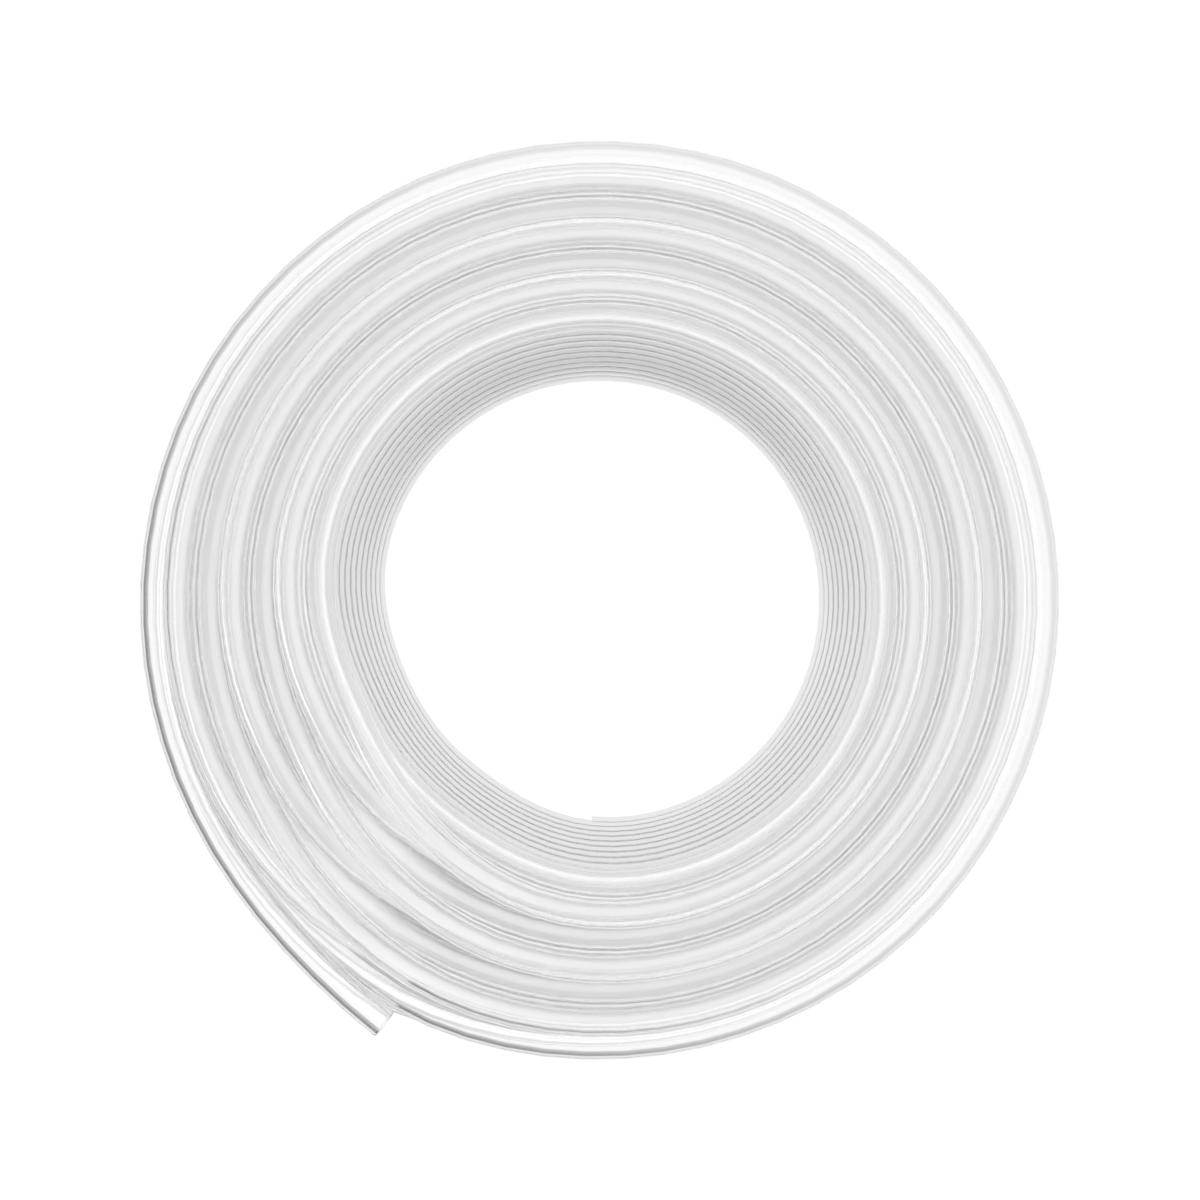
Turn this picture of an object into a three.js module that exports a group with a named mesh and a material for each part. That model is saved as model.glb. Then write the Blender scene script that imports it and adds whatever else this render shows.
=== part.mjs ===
// A coil of clear PVC fuel hose, lying flat on one end of its winding. Millimetres, +Z up.
// The origin is on the coil's axis, at the surface that the coil lies on.
//
// The hose was wound on a drum, layer over layer. Each layer is a stack of turns, and each layer
// after the first lies in the grooves of the one before, half a diameter higher or lower.
// The winding is one turned solid, whose ridges are its turns. The last turn of the hose, which
// ends in the free end, is a hollow tube of its own in a seat at the winding's top outer edge.
import * as THREE from "three";

// The hose's section.
const HOSE_OUTSIDE = 8;
const HOSE_WALL = 1.5;

// The winding.
const BORE_DIAMETER = 143.5;
const TURNS_PER_LAYER = 11;
const LAYERS = 7;

// The last turn: where its free end is cut, in degrees round the axis, anticlockwise from +X as
// seen from above, and how many degrees short of a whole turn it is.
const FREE_END_AT = -117;
const LAST_TURN_GAP = 8;
const SEAT_GAP = 0.35;
// The route of the free end as it leaves the winding: [degrees back from the cut, how far out].
const FREE_END_ROUTE = [
  [0, 8.5],
  [6, 6.1],
  [13, 4.0],
  [23, 2.3],
  [34, 1.4],
  [46, 0.8],
  [62, 0.3],
  [80, 0],
];
// Degrees between the points of the route where it follows the winding.
const ROUTE_STEP = 8;

// Facets.
const TURNED_FACETS = 40;
const TUBE_SIDES = 10;
const TUBE_STEPS = 52;
const SEAT_FACETS = 5;

// Sizes that follow from the ones above.
const HOSE_RADIUS = HOSE_OUTSIDE / 2;
const HOSE_BORE_RADIUS = HOSE_RADIUS - HOSE_WALL;
const LAYER_PITCH = HOSE_OUTSIDE * Math.sin(Math.PI / 3);
const LAST_LAYER = LAYERS - 1;
const LAST_TURN = TURNS_PER_LAYER - 1;
const LAST_TURN_SPAN = 360 - LAST_TURN_GAP;
// A ridge is the outer side of an octagon round the hose: half its flat crest.
const CREST_HALF = HOSE_RADIUS * Math.tan(Math.PI / 8);

const radians = THREE.MathUtils.degToRad;
const layerRadius = (layer) => BORE_DIAMETER / 2 + HOSE_RADIUS + layer * LAYER_PITCH;
const isRaised = (layer) => layer % 2 === 1;
const turnHeight = (layer, turn) =>
  HOSE_RADIUS + turn * HOSE_OUTSIDE + (isRaised(layer) ? HOSE_RADIUS : 0);

// The middle of one turn of the hose, in the half plane of [radius, height].
function turnCentre(layer, turn) {
  return new THREE.Vector2(layerRadius(layer), turnHeight(layer, turn));
}

// The point where two turns touch, which is the bottom of the groove between them.
function groove(a, b) {
  return a.clone().add(b).multiplyScalar(0.5);
}

// The crest of one turn on a side of the winding, and its shoulders if it stands proud of its
// neighbours. outward is the side's normal, and the outline runs along the side to its left.
function ridge(centre, outward, proud = false) {
  const along = new THREE.Vector2(-outward.y, outward.x);
  const at = (out, side) =>
    centre.clone().addScaledVector(outward, out).addScaledVector(along, side);
  const crest = [at(HOSE_RADIUS, -CREST_HALF), at(HOSE_RADIUS, CREST_HALF)];
  if (!proud) return crest;
  return [at(CREST_HALF, -HOSE_RADIUS), ...crest, at(CREST_HALF, HOSE_RADIUS)];
}

// The ridges of a row of turns, with a groove between each and the next.
function ridgeRow(centres, outward, isProud) {
  return centres.flatMap((centre, i) => [
    ...(i ? [groove(centres[i - 1], centre)] : []),
    ...ridge(centre, outward, isProud(i)),
  ]);
}

// The seat of the last turn: an arc round it, a gap away, from right under it to the layer that
// it leans on. It has no outer lip, so that the free end can leave outwards.
function seatOfLastTurn() {
  const centre = turnCentre(LAST_LAYER, LAST_TURN);
  const from = radians(-90);
  const to = radians(isRaised(LAST_LAYER) ? -150 : -210);
  const step = (to - from) / SEAT_FACETS;
  const radius = (HOSE_RADIUS + SEAT_GAP) / Math.cos(step / 2);
  return Array.from({ length: SEAT_FACETS + 1 }, (_, i) =>
    new THREE.Vector2(Math.cos(from + i * step), Math.sin(from + i * step))
      .multiplyScalar(radius)
      .add(centre),
  );
}

// The whole outline of the winding: under, outside, seat, top and bore.
function windingOutline() {
  const layers = [...Array(LAYERS).keys()];
  const turns = [...Array(TURNS_PER_LAYER).keys()];
  const under = ridgeRow(
    layers.map((layer) => turnCentre(layer, 0)),
    new THREE.Vector2(0, -1),
    (i) => !isRaised(i),
  );
  const outside = ridgeRow(
    turns.slice(0, LAST_TURN).map((turn) => turnCentre(LAST_LAYER, turn)),
    new THREE.Vector2(1, 0),
    () => false,
  );
  const top = ridgeRow(
    layers.slice(0, LAST_LAYER).reverse().map((layer) => turnCentre(layer, LAST_TURN)),
    new THREE.Vector2(0, 1),
    (i) => isRaised(LAST_LAYER - 1 - i),
  ).slice(isRaised(LAST_LAYER) ? 0 : 1);
  const bore = ridgeRow(
    turns.map((turn) => turnCentre(0, LAST_TURN - turn)),
    new THREE.Vector2(-1, 0),
    () => false,
  );
  const outline = [...under, ...outside, ...seatOfLastTurn(), ...top, ...bore];
  // Where two sides meet at a corner, both may give the corner's own shoulder.
  const distinct = outline.filter(
    (point, i) => point.distanceTo(outline.at(i - 1)) > HOSE_RADIUS / 100,
  );
  return [...distinct, distinct[0].clone()];
}

// A turned solid about +Z from an outline in [radius, height].
function turned(outline) {
  return new THREE.LatheGeometry(outline, TURNED_FACETS).rotateX(Math.PI / 2);
}

// A point of the last turn's middle line, so many degrees back from its cut end.
function routePoint(back, out) {
  const angle = radians(FREE_END_AT - back);
  const radius = layerRadius(LAST_LAYER) + out;
  return new THREE.Vector3(
    radius * Math.cos(angle),
    radius * Math.sin(angle),
    turnHeight(LAST_LAYER, LAST_TURN),
  );
}

function lastTurnRoute() {
  const points = FREE_END_ROUTE.map(([back, out]) => routePoint(back, out));
  const left = FREE_END_ROUTE.at(-1)[0];
  const count = Math.max(2, Math.round((LAST_TURN_SPAN - left) / ROUTE_STEP));
  for (let i = 1; i <= count; i += 1) {
    points.push(routePoint(left + ((LAST_TURN_SPAN - left) * i) / count, 0));
  }
  return new THREE.CatmullRomCurve3(points, false, "centripetal");
}

// A regular polygon inside a circle, as points for a shape or a hole.
function ring(radius) {
  return Array.from({ length: TUBE_SIDES }, (_, i) => {
    const angle = (2 * Math.PI * i) / TUBE_SIDES;
    return new THREE.Vector2(radius * Math.cos(angle), radius * Math.sin(angle));
  });
}

// The hose itself, hollow, along a route.
function hoseAlong(route) {
  const section = new THREE.Shape(ring(HOSE_RADIUS));
  section.holes.push(new THREE.Path(ring(HOSE_BORE_RADIUS)));
  return new THREE.ExtrudeGeometry(section, { steps: TUBE_STEPS, extrudePath: route });
}

const clearPvc = new THREE.MeshStandardMaterial({
  color: 0xe4e6e6,
  roughness: 0.12,
  metalness: 0,
  transparent: true,
  opacity: 0.6,
});

const winding = new THREE.Mesh(turned(windingOutline()), clearPvc);
winding.name = "coil_winding";

const lastTurn = new THREE.Mesh(hoseAlong(lastTurnRoute()), clearPvc.clone());
lastTurn.name = "hose_free_end";

const coil = new THREE.Group();
coil.name = "fuel_hose_coil";
coil.add(winding, lastTurn);

export default coil;
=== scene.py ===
"""The looks of a coil of clear fuel hose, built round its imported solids.

Everything is in metres, in the frame of the solids: the coil's axis is Z, and it lies on z = 0.
Angles round the axis are in degrees, anticlockwise from +X as seen from above.
"""

from __future__ import annotations

import logging
import math
from dataclasses import dataclass, field
from enum import Enum

import bpy
import numpy as np
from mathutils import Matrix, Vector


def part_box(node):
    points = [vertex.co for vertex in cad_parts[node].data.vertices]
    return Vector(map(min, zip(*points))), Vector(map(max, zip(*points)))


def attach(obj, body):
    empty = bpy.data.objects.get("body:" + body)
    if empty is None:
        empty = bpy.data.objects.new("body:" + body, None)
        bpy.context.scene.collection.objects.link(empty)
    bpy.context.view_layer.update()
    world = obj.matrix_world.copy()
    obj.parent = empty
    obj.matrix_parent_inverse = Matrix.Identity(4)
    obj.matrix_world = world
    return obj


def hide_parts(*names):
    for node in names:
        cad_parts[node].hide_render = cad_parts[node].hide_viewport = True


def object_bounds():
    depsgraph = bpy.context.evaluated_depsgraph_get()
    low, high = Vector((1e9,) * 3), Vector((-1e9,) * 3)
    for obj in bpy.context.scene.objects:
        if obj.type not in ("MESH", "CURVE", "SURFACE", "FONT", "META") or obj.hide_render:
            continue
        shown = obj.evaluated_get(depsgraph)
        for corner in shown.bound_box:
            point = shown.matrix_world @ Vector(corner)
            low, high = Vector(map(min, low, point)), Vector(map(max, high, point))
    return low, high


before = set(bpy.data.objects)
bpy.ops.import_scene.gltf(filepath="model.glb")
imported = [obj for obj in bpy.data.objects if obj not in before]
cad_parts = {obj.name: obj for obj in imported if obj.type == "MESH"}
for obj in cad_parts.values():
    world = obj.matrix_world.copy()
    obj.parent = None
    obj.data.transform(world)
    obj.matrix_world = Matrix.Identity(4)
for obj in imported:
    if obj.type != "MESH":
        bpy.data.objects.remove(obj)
CAD_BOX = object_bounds()

# Keeps a division from being one by nothing.
TINY = 1e-9

log = logging.getLogger("fuel_hose")


def smooth_step(t: np.ndarray) -> np.ndarray:
    """Return 0 below 0, 1 above 1, and a smooth rise between."""
    t = np.clip(t, 0.0, 1.0)
    return t * t * (3.0 - 2.0 * t)


def smooth_rise(value: np.ndarray, span: tuple[float, float]) -> np.ndarray:
    """Return a smooth rise from 0 where the span starts to 1 where it ends."""
    return smooth_step((value - span[0]) / (span[1] - span[0]))


class Detail(Enum):
    """How finely a stretch of hose is meshed: stations a ring, outer sides and bore sides."""

    TOP = (1, 24, 18)
    SIDE = (1, 12, 8)
    BURIED = (2, 8, 6)

    @property
    def step(self) -> int:
        """How many stations there are from one ring to the next."""
        return self.value[0]

    @property
    def outer_sides(self) -> int:
        """How many sides the outer surface has."""
        return self.value[1]

    @property
    def bore_sides(self) -> int:
        """How many sides the bore has."""
        return self.value[2]


@dataclass(frozen=True)
class HoseSection:
    """The hose's section.

    Attributes:
        outside: Outer diameter.
        wall: Thickness of the wall.
        skin: How far the meshed surface stays inside the outer diameter, so that turns that
            touch don't share a surface.
    """

    outside: float = 0.008
    wall: float = 0.0015
    skin: float = 0.00002

    @property
    def radius(self) -> float:
        """Outer radius of the meshed surface."""
        return self.outside / 2 - self.skin

    @property
    def bore_radius(self) -> float:
        """Radius of the bore."""
        return self.outside / 2 - self.wall


@dataclass
class Route:
    """The hose's middle line.

    Attributes:
        points: One point for each station, from the inner end to the free end.
        depth: How deep each station lies in the winding, from its nearest side.
        under_top: How deep each station lies under the winding's top.
        seen_to: The depth down to which the hose is seen.
        buried_from: The depth from which it is wholly buried.
        eased_over: How many stations a change from seen to buried is eased over.
    """

    points: np.ndarray
    depth: np.ndarray
    under_top: np.ndarray
    seen_to: float = 0.009
    buried_from: float = 0.011
    eased_over: int = 5

    def length(self) -> float:
        """Length of the middle line."""
        return float(np.linalg.norm(np.diff(self.points, axis=0), axis=1).sum())

    def buried(self) -> np.ndarray:
        """How buried the hose is at each station, from 0 to 1, eased along the hose."""
        share = smooth_rise(self.depth, (self.seen_to, self.buried_from))
        return np.convolve(share, np.full(self.eased_over, 1.0 / self.eased_over), "same")

    def detail(self, index: int) -> Detail:
        """Choose how finely the hose is meshed at a station.

        Args:
            index: The station's index.

        Returns:
            The detail.
        """
        if self.under_top[index] < self.seen_to:
            return Detail.TOP
        return Detail.SIDE if self.depth[index] < self.seen_to else Detail.BURIED


@dataclass
class Winding:
    """The coil as it was wound on a drum, layer over layer, each in the last one's grooves.

    A turn runs level for most of the way round. In the crossing zone it climbs to the next row
    of its layer, or over the edge of the winding to the next layer.

    Attributes:
        section: The hose that is wound.
        outermost: Radius of the outermost layer's middle line.
        layers: How many layers there are, from the bore out.
        rows: How many turns each layer has.
        crossing: Angles where the crossing zone starts and ends.
        inner_end_at: Angle of the cut end on the floor of the bore.
        free_end_at: Angle of the cut end at the top outer edge.
        free_end_route: How the free end leaves the winding, as degrees back from the cut and
            how far out it is there.
        bulge: How much thicker the winding is in the crossing zone, where the turns of
            neighbouring layers cross crest on crest and don't nest.
        bulge_inwards: The share of that which goes into the bore.
        swell_over: How many degrees the winding takes to thicken, and to thin again.
        swell_ahead: How many degrees that reaches past both ends of the crossing zone.
        passing_moves: The part of the crossing zone in which a turn that passes to the next
            layer moves across. It waits until the turn that it passes over has dived.
        passing_climbs: The part in which that turn climbs.
        leaving_climbs: The part in which a turn that leaves an edge row climbs.
        arriving_climbs: The part in which a turn that arrives in an edge row climbs.
        nesting: Angle, in degrees, at which a turn leans on the two that it lies between.
        stations: How many points of the middle line each turn has.
        cover: How far to a side, in diameters, a turn still covers another.
        slots: Layer and row of each turn, from the inner end.
        angles: The angle of each station of a turn.
    """

    section: HoseSection
    outermost: float
    layers: int = 7
    rows: int = 11
    crossing: tuple[float, float] = (-177.0, -102.0)
    inner_end_at: float = -92.0
    free_end_at: float = -117.0
    free_end_route: tuple[tuple[float, float], ...] = (
        (0, 0.0085),
        (6, 0.0061),
        (13, 0.0040),
        (23, 0.0023),
        (34, 0.0014),
        (46, 0.0008),
        (62, 0.0003),
        (80, 0.0),
    )
    bulge: float = 0.0064
    bulge_inwards: float = 0.75
    swell_over: float = 30.0
    swell_ahead: float = 12.0
    passing_moves: tuple[float, float] = (0.25, 1.0)
    passing_climbs: tuple[float, float] = (0.15, 0.65)
    leaving_climbs: tuple[float, float] = (0.0, 0.6)
    arriving_climbs: tuple[float, float] = (0.3, 1.0)
    nesting: float = 60.0
    stations: int = 72
    cover: float = 0.6
    slots: list[tuple[int, int]] = field(init=False)
    angles: np.ndarray = field(init=False)

    def __post_init__(self) -> None:
        """List the winding's slots in order, and the angles of a turn's stations."""
        self.slots = []
        for layer in range(self.layers):
            rows = range(self.rows) if layer % 2 == 0 else reversed(range(self.rows))
            self.slots += [(layer, row) for row in rows]
        self.angles = self.crossing[0] + 360.0 * np.arange(self.stations) / self.stations

    @property
    def pitch(self) -> float:
        """Distance from layer to layer where they nest."""
        return self.section.outside * math.sin(math.radians(self.nesting))

    @property
    def innermost(self) -> float:
        """Radius of the innermost layer's middle line."""
        return self.outermost - (self.layers - 1) * self.pitch

    def slot(self, turn: int) -> tuple[int, int]:
        """Layer and row of a turn, counted from the inner end."""
        return self.slots[min(max(turn, 0), len(self.slots) - 1)]

    def home(self, turn: int) -> tuple[float, float]:
        """Find where a turn runs level.

        Args:
            turn: The turn, counted from the inner end.

        Returns:
            The radius and the height of its middle line.
        """
        layer, row = self.slot(turn)
        raised = self.section.outside / 2 if layer % 2 else 0.0
        height = self.section.outside * (row + 0.5) + raised
        return self.innermost + layer * self.pitch, height

    def crossing_share(self) -> np.ndarray:
        """How far through the crossing zone each station of a turn is, over 1 after it."""
        start, end = self.crossing
        return (self.angles - start) / (end - start)

    def swell(self) -> np.ndarray:
        """Find how thick the winding is round the crossing zone.

        Returns:
            The share of the bulge at each station of a turn.
        """
        grows = self.crossing[0] - self.swell_ahead
        shrinks = self.crossing[1] + self.swell_ahead
        rise = (grows, grows + self.swell_over)
        fall = (shrinks - self.swell_over, shrinks)
        shares = [
            smooth_rise(angles, rise) * (1.0 - smooth_rise(angles, fall))
            for angles in (self.angles, self.angles - 360.0)
        ]
        return np.maximum(*shares)

    def climb(self, turn: int) -> tuple[np.ndarray, np.ndarray]:
        """Radius and height along a turn, before the turns have pushed each other aside.

        Args:
            turn: The turn, counted from the inner end.

        Returns:
            The radii and the heights at the turn's stations.
        """
        share = self.crossing_share()
        before, after = self.home(turn - 1), self.home(turn)
        (layer, row), (next_layer, next_row) = self.slot(turn - 1), self.slot(turn)
        move = rise = smooth_step(share)
        edges = (0, self.rows - 1)
        if layer != next_layer:
            move = smooth_rise(share, self.passing_moves)
            rise = smooth_rise(share, self.passing_climbs)
        elif row in edges:
            rise = smooth_rise(share, self.leaving_climbs)
        elif next_row in edges:
            rise = smooth_rise(share, self.arriving_climbs)
        return (
            before[0] + (after[0] - before[0]) * move,
            before[1] + (after[1] - before[1]) * rise,
        )

    def laid(self) -> tuple[np.ndarray, np.ndarray, np.ndarray]:
        """Lay all the turns in their slots.

        Returns:
            The radii, the heights and whether there is hose, for each turn and station.
        """
        turns = len(self.slots) + 1
        climbs = [self.climb(turn) for turn in range(turns)]
        radius = np.array([climb[0] for climb in climbs])
        height = np.array([climb[1] for climb in climbs])
        there = np.ones(radius.shape, bool)
        there[0] = self.angles >= self.inner_end_at
        there[-1] = self.angles <= self.free_end_at
        back, out = np.array(self.free_end_route).T
        radius[-1] = self.outermost + np.interp(self.free_end_at - self.angles, back, out)
        depth = (self.outermost - radius) / (self.outermost - self.innermost)
        shift = self.bulge * (1.0 - self.bulge_inwards - depth)
        radius[:-1] += (self.swell() * shift)[:-1]
        return radius, height, there

    def route(self) -> Route:
        """Lay the turns and let them settle.

        Returns:
            The hose's middle line, followed from end to end.
        """
        radius, height, there = self.laid()
        radius, height = Settling(self.section.outside, there).settled(radius, height)
        angle = np.radians(np.broadcast_to(self.angles, radius.shape))
        points = np.stack([radius * np.cos(angle), radius * np.sin(angle), height], axis=-1)
        depth, under_top = self.depths(radius, height)
        return Route(points[there], depth[there], under_top[there])

    def depths(self, radius: np.ndarray, height: np.ndarray) -> tuple[np.ndarray, np.ndarray]:
        """Measure how deep the turns lie in the winding, which the free end isn't part of.

        Args:
            radius: Radii, for each turn and station.
            height: Heights, for each turn and station.

        Returns:
            The depth from the nearest side, and the depth under the top.
        """
        hose = self.section.outside / 2
        beside = self.cover * self.section.outside
        level = np.abs(height[:, None] - height[None, :-1]) < beside
        above = np.abs(radius[:, None] - radius[None, :-1]) < beside
        outside = np.where(level, radius[None, :-1], -np.inf).max(axis=1)
        inside = np.where(level, radius[None, :-1], np.inf).min(axis=1)
        top = np.where(above, height[None, :-1], -np.inf).max(axis=1)
        under_top = np.maximum(top - height, 0.0) + hose
        from_sides = np.minimum(radius - inside, outside - radius) + hose
        return np.minimum(np.minimum(from_sides, under_top), height), under_top


@dataclass
class Settling:
    """Pushes apart turns that lie in each other, as stiff hoses that lie on a floor.

    Attributes:
        outside: The hose's outer diameter, in metres.
        there: Whether there is hose, for each turn and station.
        rounds: How many rounds of smoothing and pushing there are.
        relist_every: How many rounds pass before the neighbours are listed again.
        reach: How far apart two turns are still listed as neighbours, in diameters.
        slack: How much nearer than a diameter two turns may lie, in diameters.
        stiffness: The share of its bends that the hose eases in a round.
        memory: The share of the way back to where it was laid that it moves in a round.
        pushes: How often turns are pushed apart in a round.
        push_share: The share of an overlap that a push takes away from each turn.
        easings: How often the bends are eased after the last push.
        wide_bend: Weights of a station and its neighbours that keep wide bends as they are.
        tight_bend: Weights that ease tight bends.
    """

    outside: float
    there: np.ndarray
    rounds: int = 240
    relist_every: int = 20
    reach: float = 1.4
    slack: float = 0.003
    stiffness: float = 0.35
    memory: float = 0.01
    pushes: int = 3
    push_share: float = 0.42
    easings: int = 1
    wide_bend: tuple[float, ...] = (-0.0625, 0.25, 0.625, 0.25, -0.0625)
    tight_bend: tuple[float, ...] = (0.25, 0.5, 0.25)

    def neighbours(self, radius: np.ndarray, height: np.ndarray) -> tuple[np.ndarray, np.ndarray]:
        """List the pairs of stations that are near each other.

        Args:
            radius: Radii, for each turn and station.
            height: Heights, for each turn and station.

        Returns:
            The flat indexes of the pairs' first and second stations.
        """
        apart = np.hypot(radius[:, None] - radius[None], height[:, None] - height[None])
        near = apart < self.reach * self.outside
        near &= self.there[:, None] & self.there[None]
        first, second, station = np.nonzero(near)
        keep = first < second
        width = radius.shape[1]
        return (
            first[keep] * width + station[keep],
            second[keep] * width + station[keep],
        )

    def smoothed(self, along: np.ndarray) -> np.ndarray:
        """Ease the bends of the hose, as its stiffness does.

        Args:
            along: The radius or the height at each station along the hose.

        Returns:
            The same, eased.
        """
        eased = along.copy()
        eased[2:-2] = np.convolve(along, self.wide_bend, "valid")
        eased[1:-1] = (eased[1:-1] + np.convolve(along, self.tight_bend, "valid")) / 2
        return eased

    def settled(self, radius: np.ndarray, height: np.ndarray) -> tuple[np.ndarray, np.ndarray]:
        """Let the turns settle.

        Args:
            radius: Radii as laid, for each turn and station.
            height: Heights as laid, for each turn and station.

        Returns:
            The radii and the heights after settling.
        """
        shape = radius.shape
        free = np.ones(shape)
        free[-1] = 0.0
        free = free.ravel()
        start = np.stack([radius.ravel(), height.ravel()])
        now = start.copy()
        touching = self.outside * (1.0 - self.slack)
        for step in range(self.rounds):
            if step % self.relist_every == 0:
                a, b = self.neighbours(*now.reshape(2, *shape))
                yielding = np.maximum(free[a] + free[b], TINY)
            for axis in (0, 1):
                eased = self.smoothed(now[axis])
                now[axis] += free * self.stiffness * (eased - now[axis])
                now[axis] += free * self.memory * (start[axis] - now[axis])
            for _ in range(self.pushes):
                gap = now[:, a] - now[:, b]
                apart = np.maximum(np.hypot(*gap), TINY)
                push = self.push_share * np.maximum(touching - apart, 0.0) / apart / yielding
                for axis in (0, 1):
                    moved = push * gap[axis]
                    now[axis] += free * np.bincount(a, moved, free.size)
                    now[axis] -= free * np.bincount(b, moved, free.size)
                now[1] = np.maximum(now[1], self.outside / 2)
        for _ in range(self.easings):
            for axis in (0, 1):
                now[axis] += free * (self.smoothed(now[axis]) - now[axis])
        now[1] = np.maximum(now[1], self.outside / 2)
        return now[0].reshape(shape), now[1].reshape(shape)


@dataclass
class HoseMesh:
    """Meshes the hose, hollow and with cut ends, along its route.

    Attributes:
        section: The hose's section.
        route: Its middle line.
        lip: How much the knife has rounded the edges of the cut ends.
        vertices: The rings' vertices so far.
        straight: Where each vertex would be if the hose were straight, for the streaks.
        buried: How buried each vertex is, from 0 to 1.
        faces: The faces so far.
        edged: Vertices of the cut ends, whose edges are sharp.
        count: How many vertices there are so far.
        along: How far along the hose each station is.
        burial: How buried the hose is at each station.
    """

    section: HoseSection
    route: Route
    lip: float = 0.00012
    vertices: list[np.ndarray] = field(init=False, default_factory=list)
    straight: list[np.ndarray] = field(init=False, default_factory=list)
    buried: list[np.ndarray] = field(init=False, default_factory=list)
    faces: list[tuple[int, ...]] = field(init=False, default_factory=list)
    edged: list[int] = field(init=False, default_factory=list)
    count: int = field(init=False, default=0)
    along: np.ndarray = field(init=False)
    burial: np.ndarray = field(init=False)

    def __post_init__(self) -> None:
        """Measure along the route."""
        steps = np.linalg.norm(np.diff(self.route.points, axis=0), axis=1)
        self.along = np.concatenate([[0.0], np.cumsum(steps)])
        self.burial = self.route.buried()

    def stations(self) -> list[tuple[int, Detail]]:
        """Choose the stations that get a ring, and how fine each ring is.

        Returns:
            Indexes into the route, each with its detail.
        """
        last = len(self.route.points) - 1
        chosen = []
        index = 0
        while index < last:
            detail = self.route.detail(index)
            chosen.append((index, detail))
            index += detail.step
        chosen.append((last, Detail.TOP))
        return chosen

    def ring(self, index: int, sides: int, radius: float, ahead_by: float = 0.0) -> list[int]:
        """Add a ring of vertices round a station.

        Args:
            index: The station's index in the route.
            sides: How many vertices the ring has.
            radius: The ring's radius.
            ahead_by: How far ahead of the station the ring lies.

        Returns:
            The indexes of the ring's vertices.
        """
        points = self.route.points
        ahead = points[min(index + 1, len(points) - 1)] - points[max(index - 1, 0)]
        ahead /= np.linalg.norm(ahead)
        out = np.cross(ahead, (0.0, 0.0, 1.0))
        out /= np.linalg.norm(out)
        up = np.cross(out, ahead)
        turn = 2.0 * math.pi * np.arange(sides) / sides
        across = radius * np.cos(turn)
        above = radius * np.sin(turn)
        centre = points[index] + ahead_by * ahead
        self.vertices.append(centre + np.outer(across, out) + np.outer(above, up))
        along = np.full(sides, self.along[index] + ahead_by)
        self.straight.append(np.stack([across, above, along], axis=1))
        self.buried.append(np.full(sides, self.burial[index]))
        first = self.count
        self.count += sides
        return list(range(first, self.count))

    def bridge(self, a: list[int], b: list[int], flipped: bool = False) -> None:
        """Join two rings with quads, or with triangles where their counts differ.

        Args:
            a: Vertices of the first ring.
            b: Vertices of the ring after it.
            flipped: Whether the faces look towards the rings' axis.
        """
        n, m = len(a), len(b)
        new: list[tuple[int, ...]] = []
        if n == m:
            for i in range(n):
                j = (i + 1) % n
                new.append((a[i], b[i], b[j], a[j]))
        else:
            i = j = 0
            while i < n or j < m:
                if j >= m or (i < n and (i + 1) / n <= (j + 1) / m):
                    new.append((a[i % n], b[j % m], a[(i + 1) % n]))
                    i += 1
                else:
                    new.append((a[i % n], b[j % m], b[(j + 1) % m]))
                    j += 1
        self.faces += [face[::-1] for face in new] if flipped else new

    def cut(self, index: int, detail: Detail, outer: list[int], bore: list[int]) -> None:
        """Close a cut end, with the edges a little rounded.

        Args:
            index: The end's index in the route.
            detail: How fine its rings are.
            outer: The outer ring at the end.
            bore: The bore's ring at the end.
        """
        ahead_by = self.lip if index else -self.lip
        lip = self.ring(index, detail.outer_sides, self.section.radius - self.lip, ahead_by)
        mouth = self.ring(index, detail.bore_sides, self.section.bore_radius + self.lip, ahead_by)
        rings = [outer, lip, mouth, bore]
        for a, b in zip(rings, rings[1:]):
            self.bridge(*((a, b) if index else (b, a)))
        self.edged += [vertex for ring in rings for vertex in ring]

    def build(self, name: str) -> bpy.types.Object:
        """Mesh the whole hose.

        Args:
            name: The new object's name.

        Returns:
            The hose.
        """
        before: tuple[list[int], list[int]] | None = None
        last = len(self.route.points) - 1
        for index, detail in self.stations():
            outer = self.ring(index, detail.outer_sides, self.section.radius)
            bore = self.ring(index, detail.bore_sides, self.section.bore_radius)
            if before:
                self.bridge(before[0], outer)
                self.bridge(before[1], bore, flipped=True)
            if index in (0, last):
                self.cut(index, detail, outer, bore)
            before = (outer, bore)
        return self.as_object(name)

    def as_object(self, name: str) -> bpy.types.Object:
        """Turn the collected vertices and faces into an object of the scene.

        Args:
            name: The new object's name.

        Returns:
            The hose.
        """
        mesh = bpy.data.meshes.new(name)
        mesh.from_pydata(np.concatenate(self.vertices).tolist(), [], self.faces)
        mesh.polygons.foreach_set("use_smooth", np.ones(len(mesh.polygons), bool))
        straight = mesh.attributes.new("straight", "FLOAT_VECTOR", "POINT")
        straight.data.foreach_set("vector", np.concatenate(self.straight).ravel())
        buried = mesh.attributes.new("buried", "FLOAT", "POINT")
        buried.data.foreach_set("value", np.concatenate(self.buried))
        ends = np.empty(2 * len(mesh.edges), np.int32)
        mesh.edges.foreach_get("vertices", ends)
        sharp = mesh.attributes.new("sharp_edge", "BOOLEAN", "EDGE")
        sharp.data.foreach_set("value", np.isin(ends, self.edged).reshape(-1, 2).all(axis=1))
        hose = bpy.data.objects.new(name, mesh)
        bpy.context.scene.collection.objects.link(hose)
        return hose


# A number, or the output that gives it.
Level = float | bpy.types.NodeSocket


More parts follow.
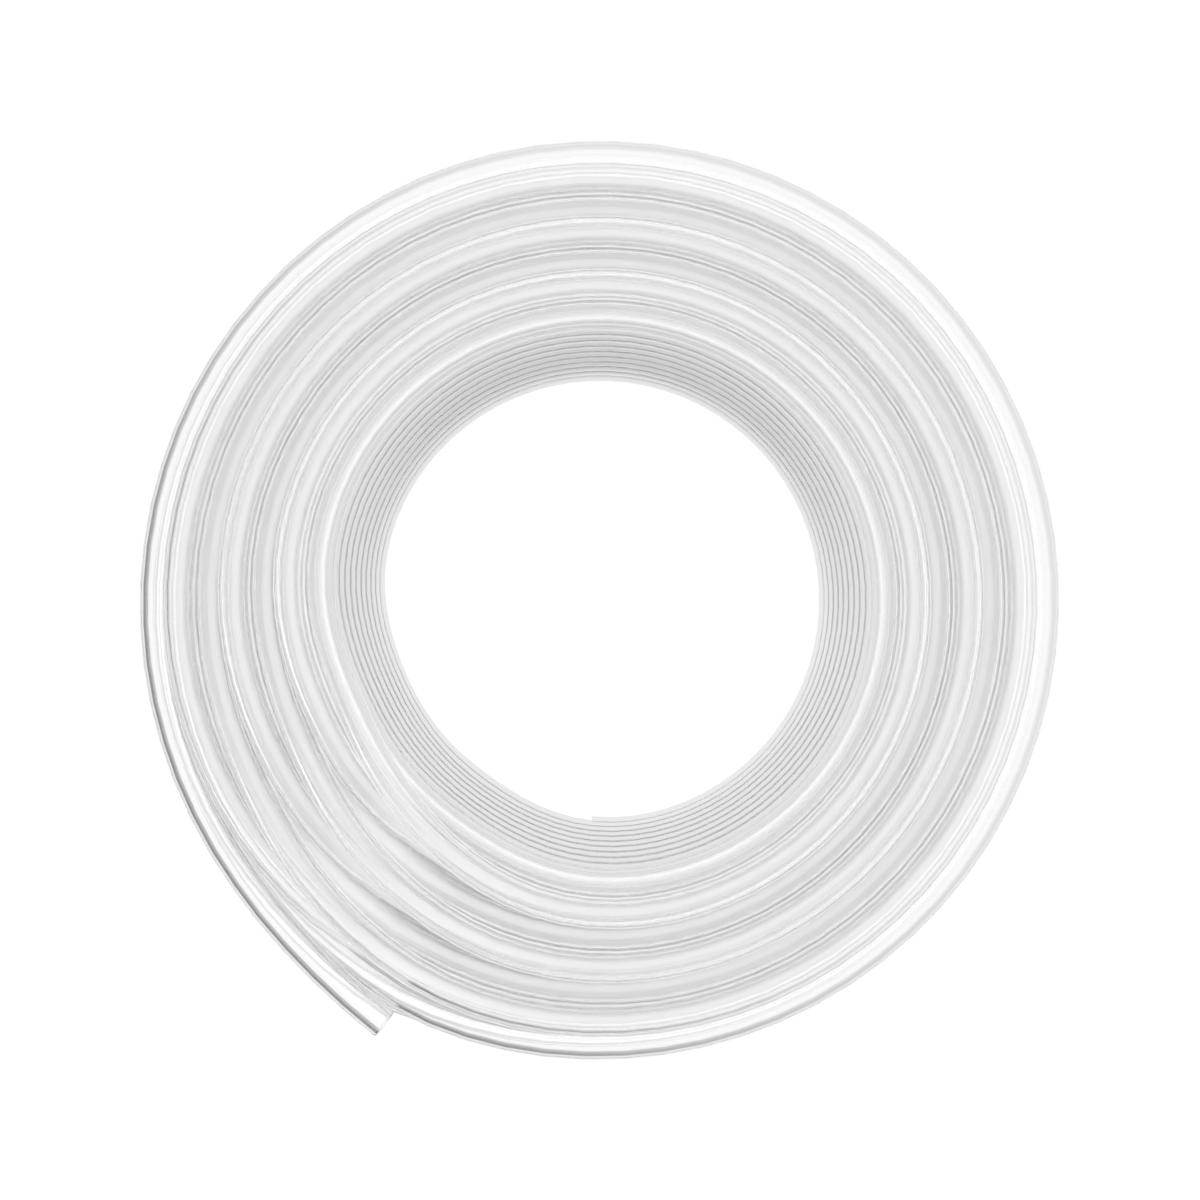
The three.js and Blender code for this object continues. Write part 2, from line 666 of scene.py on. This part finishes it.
class Nodes:
    """A node tree with short calls to add nodes and join them."""

    def __init__(self, tree: bpy.types.NodeTree) -> None:
        """Empty a node tree and hold it."""
        self.tree = tree
        tree.nodes.clear()

    def add(self, kind: str, inputs: dict | None = None, **settings) -> bpy.types.Node:
        """Add a node.

        Args:
            kind: The node's type, without its ShaderNode prefix.
            inputs: For each input, a value or the output that feeds it.
            **settings: The node's own properties.

        Returns:
            The node.
        """
        node = self.tree.nodes.new("ShaderNode" + kind)
        for key, value in settings.items():
            setattr(node, key, value)
        for key, value in (inputs or {}).items():
            if isinstance(value, bpy.types.NodeSocket):
                self.tree.links.new(value, node.inputs[key])
            else:
                node.inputs[key].default_value = value
        return node

    def math(self, operation: str, *values: Level) -> bpy.types.NodeSocket:
        """Add a math node and return its result."""
        inputs = dict(enumerate(values))
        return self.add("Math", inputs, operation=operation).outputs[0]

    def ramp(
        self, value: Level, low: float, high: float, start: Level = 0.0, end: Level = 1.0
    ) -> bpy.types.NodeSocket:
        """Map a range to another one smoothly, held at both ends.

        Args:
            value: What is mapped.
            low: Where the range starts.
            high: Where it ends.
            start: The result at its start.
            end: The result at its end.

        Returns:
            The result.
        """
        inputs = {"Value": value, 1: low, 2: high, 3: start, 4: end}
        node = self.add("MapRange", inputs, interpolation_type="SMOOTHSTEP")
        return node.outputs["Result"]


@dataclass(frozen=True)
class ClearPvc:
    """Clear soft PVC: glossy, with drawn streaks. Buried turns look milky, as thick PVC does.

    Attributes:
        tint: What is left of the light after each surface.
        ior: How strongly it bends light.
        roughness: Roughness of the smooth surface and of the drawn streaks.
        milky_roughness: Roughness where it is buried.
        milky_clarity: How much of the light passes straight through there.
        streak_scale: How fine the streaks are, across and along the hose.
        streak_detail: How many finer sizes of streak there are within.
        streak_range: Values of the noise where streaks start and where they are full.
    """

    tint: tuple[float, float, float, float] = (0.998, 0.9985, 0.999, 1.0)
    ior: float = 1.53
    roughness: tuple[float, float] = (0.03, 0.09)
    milky_roughness: float = 0.4
    milky_clarity: float = 0.65
    streak_scale: tuple[float, float, float] = (1800.0, 1800.0, 36.0)
    streak_detail: float = 3.0
    streak_range: tuple[float, float] = (0.45, 0.8)

    def build(self, name: str) -> bpy.types.Material:
        """Make the material.

        Args:
            name: The material's name.

        Returns:
            The material.
        """
        material = bpy.data.materials.new(name)
        material.use_nodes = True
        nodes = Nodes(material.node_tree)
        straight = nodes.add("Attribute", attribute_name="straight").outputs["Vector"]
        buried = nodes.add("Attribute", attribute_name="buried").outputs["Fac"]
        place = nodes.add("VectorMath", {0: straight, 1: self.streak_scale}, operation="MULTIPLY")
        noise = {"Vector": place.outputs[0], "Scale": 1.0, "Detail": self.streak_detail}
        drawn = nodes.add("TexNoise", noise)
        streaks = nodes.ramp(drawn.outputs["Fac"], *self.streak_range, *self.roughness)
        shader = nodes.add(
            "BsdfPrincipled",
            {
                "Base Color": self.tint,
                "Roughness": nodes.ramp(buried, 0.0, 1.0, streaks, self.milky_roughness),
                "IOR": self.ior,
                "Transmission Weight": nodes.ramp(buried, 0.0, 1.0, 1.0, self.milky_clarity),
            },
        )
        nodes.add("OutputMaterial", {"Surface": shader.outputs[0]})
        return material


@dataclass(frozen=True)
class Surround:
    """How bright the white room round the coil is. The camera itself sees plain white.

    The numbers are a stand-in, set to match the photograph. They aren't known from it.

    Attributes:
        ceiling: Brightness of the ceiling.
        walls_to: Height of a direction, as its sine, where the walls end.
        ceiling_from: Height of a direction where the ceiling starts.
        window: The way to the room's bright side, level.
        dark_wall: Brightness of the wall on the other side.
        light_wall: Brightness of the wall on the bright side.
        wall_turn: How far a wall faces the bright side, from -1 to 1, where the dark wall ends
            and where the light wall starts.
        lamp: Brightness of the soft lamp overhead.
        lamp_way: The way to it.
        lamp_edge: Cosines of the angles from its middle where it ends and where it is full.
        table: Brightness of the table near the coil.
        table_edge: Distances from the axis where the lit table ends and where the room starts.
        painted_coil_shadow: Brightness of the table under the coil, as a share of the rest: a
            painted shadow of the coil in the table's glow.
        coil_shadow_edge: Distances from the axis where that painted shadow ends and where the
            open table starts.
        painted_bore_shade: Brightness of the table in the bore, as the same share, at -Y and at
        +Y: painted shade, darkest towards +Y, where the bore's wall would shade the table.
        bore_turn: Distances along Y where the one ends and where the other starts.
        bore_edge: Distances from the axis where the bore ends and where the coil starts.
    """

    ceiling: float = 2.9
    walls_to: float = 0.2
    ceiling_from: float = 0.9
    window: tuple[float, float, float] = (0.8, 0.6, 0.0)
    dark_wall: float = 0.02
    light_wall: float = 0.5
    wall_turn: tuple[float, float] = (-0.9, 0.6)
    lamp: float = 2.2
    lamp_way: tuple[float, float, float] = (0.34, 0.25, 0.906)
    lamp_edge: tuple[float, float] = (0.80, 0.98)
    table: float = 0.7
    table_edge: tuple[float, float] = (0.185, 0.20)
    painted_coil_shadow: float = 0.95
    coil_shadow_edge: tuple[float, float] = (0.105, 0.125)
    painted_bore_shade: tuple[float, float] = (0.85, 0.35)
    bore_turn: tuple[float, float] = (-0.02, 0.065)
    bore_edge: tuple[float, float] = (0.060, 0.078)

    def walls(self, nodes: Nodes, way: bpy.types.NodeSocket) -> bpy.types.NodeSocket:
        """Find the brightness of the walls in a direction.

        Args:
            nodes: The node tree.
            way: The direction.

        Returns:
            The brightness.
        """
        level = nodes.add("VectorMath", {0: way, 1: (1.0, 1.0, 0.0)}, operation="MULTIPLY")
        unit = nodes.add("VectorMath", {0: level.outputs[0]}, operation="NORMALIZE")
        ways = {0: unit.outputs[0], 1: self.window}
        facing = nodes.add("VectorMath", ways, operation="DOT_PRODUCT").outputs["Value"]
        return nodes.ramp(facing, *self.wall_turn, self.dark_wall, self.light_wall)

    def room(self, nodes: Nodes) -> bpy.types.NodeSocket:
        """Find the brightness of the room.

        Args:
            nodes: The world's node tree.

        Returns:
            The brightness.
        """
        way = nodes.add("TexCoord").outputs["Generated"]
        height = nodes.add("SeparateXYZ", {0: way}).outputs["Z"]
        walls = self.walls(nodes, way)
        room = nodes.ramp(height, self.walls_to, self.ceiling_from, walls, self.ceiling)
        facing = nodes.add("VectorMath", {0: way, 1: self.lamp_way}, operation="DOT_PRODUCT")
        lamp = nodes.ramp(facing.outputs["Value"], *self.lamp_edge, 0.0, self.lamp)
        return nodes.math("MAXIMUM", room, lamp)

    def floor(self, nodes: Nodes) -> bpy.types.NodeSocket:
        """Find the brightness of the table and of the floor round it, with the coil's shadow and
        the bore wall's shade painted in.

        Args:
            nodes: The floor material's node tree.

        Returns:
            The brightness.
        """
        place = nodes.add("NewGeometry").outputs["Position"]
        far = nodes.add("VectorMath", {0: place}, operation="LENGTH").outputs["Value"]
        up = nodes.add("SeparateXYZ", {0: place}).outputs["Y"]
        table = nodes.ramp(far, *self.table_edge, self.table, self.walls(nodes, place))
        # Painted shadow of the coil: the table glows dimmer under the coil.
        under = nodes.ramp(far, *self.coil_shadow_edge, self.painted_coil_shadow, 1.0)
        # Painted shade in the bore: the table glows dimmer towards +Y, where the bore's wall
        # would shade it.
        bore = nodes.ramp(up, *self.bore_turn, *self.painted_bore_shade)
        inner = nodes.ramp(far, *self.bore_edge, bore, under)
        return nodes.math("MULTIPLY", table, inner)


@dataclass
class Studio:
    """A white table in a white room, with the camera straight above.

    Attributes:
        surround: The light.
        camera_above: Height of the camera above the top of the coil.
        focal_pixels: Focal length in pixels of the picture.
        picture_pixels: Width of the picture in pixels.
        sensor: Width of the camera's sensor, in millimetres.
        clip: The nearest and the furthest distance that the camera sees.
        floor_half: Half the floor's width.
        floor_below: How far under the coil the floor lies.
        bounces: How many surfaces light passes before it is given up.
        diffuse_bounces: How many of them may be milky.
        gamma: How high the picture's key is, set to match the photograph.
    """

    surround: Surround = field(default_factory=Surround)
    camera_above: float = 0.330
    focal_pixels: float = 1277.0
    picture_pixels: float = 1200.0
    sensor: float = 36.0
    clip: tuple[float, float] = (0.01, 50.0)
    floor_half: float = 3.0
    floor_below: float = 0.0002
    bounces: int = 64
    diffuse_bounces: int = 16
    gamma: float = 2.5

    def camera(self) -> None:
        """Place the camera over the coil's axis, looking straight down."""
        data = bpy.data.cameras.new("camera")
        data.sensor_width = self.sensor
        data.lens = self.sensor * self.focal_pixels / self.picture_pixels
        data.clip_start, data.clip_end = self.clip
        camera = bpy.data.objects.new("camera", data)
        camera.location = (0.0, 0.0, CAD_BOX[1][2] + self.camera_above)
        bpy.context.scene.collection.objects.link(camera)
        bpy.context.scene.camera = camera

    def glow(self, nodes: Nodes, kind: str, level: bpy.types.NodeSocket) -> bpy.types.NodeSocket:
        """Add a shader that glows as bright as the room lights the coil, but white to the camera.

        Args:
            nodes: The node tree.
            kind: The shader's type.
            level: The brightness.

        Returns:
            The shader's output.
        """
        seen = nodes.add("LightPath").outputs["Is Camera Ray"]
        strength = nodes.math("MAXIMUM", level, seen)
        return nodes.add(kind, {"Color": (1, 1, 1, 1), "Strength": strength}).outputs[0]

    def floor(self) -> None:
        """Lay a white floor, lit from within as a light table is, with the coil's shadow painted
        into its glow.
        """
        half = self.floor_half
        mesh = bpy.data.meshes.new("floor")
        corners = [(-half, -half, 0), (half, -half, 0), (half, half, 0), (-half, half, 0)]
        mesh.from_pydata(corners, [], [(0, 1, 2, 3)])
        floor = bpy.data.objects.new("floor", mesh)
        floor.location.z = -self.floor_below
        bpy.context.scene.collection.objects.link(floor)
        material = bpy.data.materials.new("floor_white")
        material.use_nodes = True
        nodes = Nodes(material.node_tree)
        glow = self.glow(nodes, "Emission", self.surround.floor(nodes))
        nodes.add("OutputMaterial", {"Surface": glow})
        material.cycles.emission_sampling = "NONE"
        mesh.materials.append(material)

    def light(self) -> None:
        """Surround the coil with soft light."""
        world = bpy.data.worlds.new("surround")
        world.use_nodes = True
        nodes = Nodes(world.node_tree)
        glow = self.glow(nodes, "Background", self.surround.room(nodes))
        nodes.add("OutputWorld", {"Surface": glow})
        world.cycles.sampling_method = "NONE"
        bpy.context.scene.world = world

    def rendering(self) -> None:
        """Let light pass through many walls, and keep white white."""
        scene = bpy.context.scene
        scene.cycles.max_bounces = self.bounces
        scene.cycles.transmission_bounces = self.bounces
        scene.cycles.glossy_bounces = self.bounces
        scene.cycles.diffuse_bounces = self.diffuse_bounces
        scene.cycles.use_denoising = True
        scene.cycles.denoiser = "OPENIMAGEDENOISE"
        scene.view_settings.view_transform = "Standard"
        scene.view_settings.gamma = self.gamma

    def build(self) -> None:
        """Set up the camera, the floor, the light and the rendering."""
        self.camera()
        self.floor()
        self.light()
        self.rendering()


@dataclass
class FuelHose:
    """The hose, wound into its coil.

    Attributes:
        section: The hose's section.
        name: The piece's name.
    """

    section: HoseSection = field(default_factory=HoseSection)
    name: str = "fuel_hose"

    def winding(self) -> Winding:
        """The winding, as wide as its solid."""
        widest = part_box("coil_winding")[1][0]
        return Winding(self.section, outermost=widest - self.section.outside / 2)

    def build(self) -> bpy.types.Object:
        """Returns:
            The hose.
        """
        route = self.winding().route()
        length = route.length()
        hose = HoseMesh(self.section, route).build(self.name)
        hose.data.materials.append(ClearPvc().build("clear_pvc"))
        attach(hose, "root")
        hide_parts("coil_winding", "hose_free_end")
        log.info("%s: %.2f m of hose, %d faces", self.name, length, len(hose.data.polygons))
        return hose


def main() -> None:
    """Build the studio and the hose, and log both."""
    logging.basicConfig(level=logging.INFO, format="%(name)s: %(message)s")
    Studio().build()
    log.info("studio: camera, floor and light")
    FuelHose().build()


if __name__ == "__main__":
    main()
